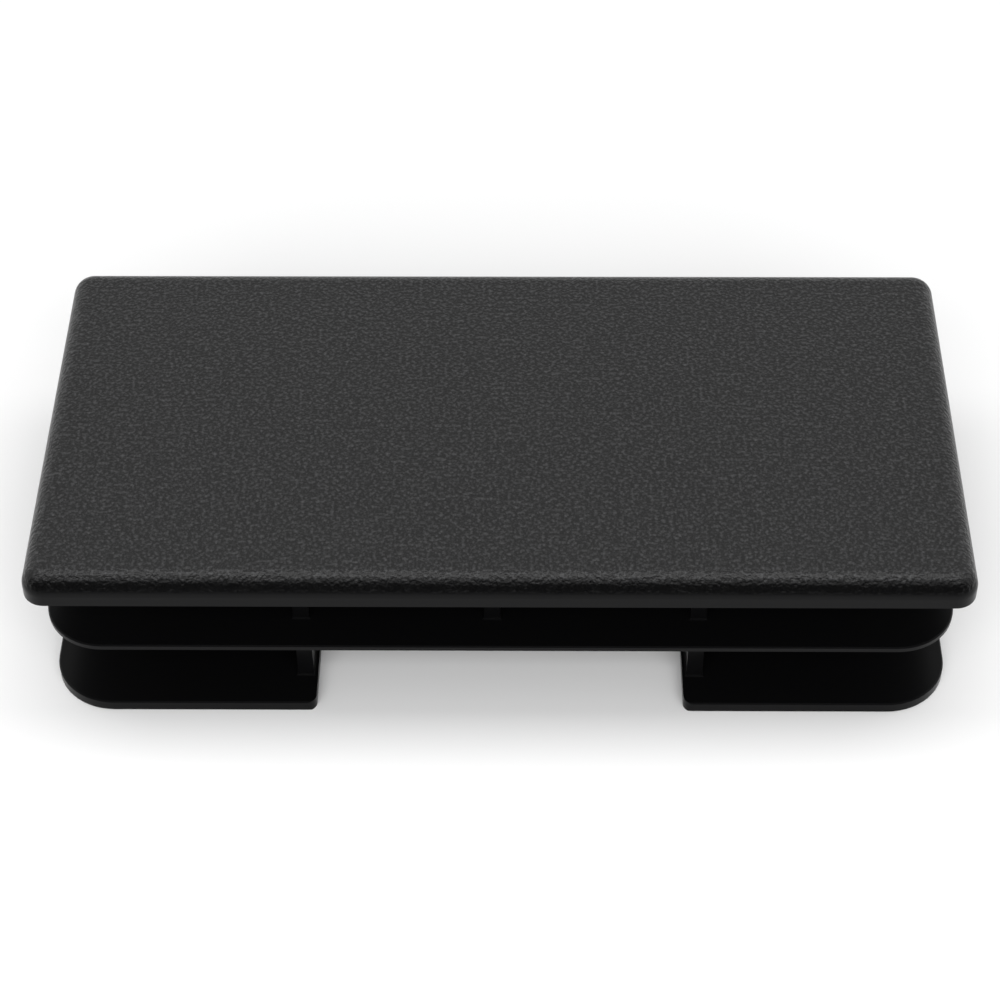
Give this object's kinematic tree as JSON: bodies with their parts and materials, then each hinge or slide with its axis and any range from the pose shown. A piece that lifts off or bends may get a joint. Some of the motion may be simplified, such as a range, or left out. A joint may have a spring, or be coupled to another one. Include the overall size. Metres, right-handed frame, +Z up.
{
  "type": "profile end cap",
  "caption": "Ribbed push-in end cap for a rectangular steel tube: flat rounded head, flexible gripping fins and a hollow core notched between two feet.",
  "frame": {"origin": "centre of the plane that the cap's two feet stand on", "axes": "+X along the head's long side, +Y along its short side, +Z up through the head, out of the tube's end"},
  "size_m": [0.1, 0.05, 0.0216],
  "materials": {
    "black_plastic": "black polyethylene, fine spark-eroded grain on the head's top and smooth elsewhere"
  },
  "bodies": {
    "root": {"end_cap": "black_plastic"}
  },
  "joints": []
}
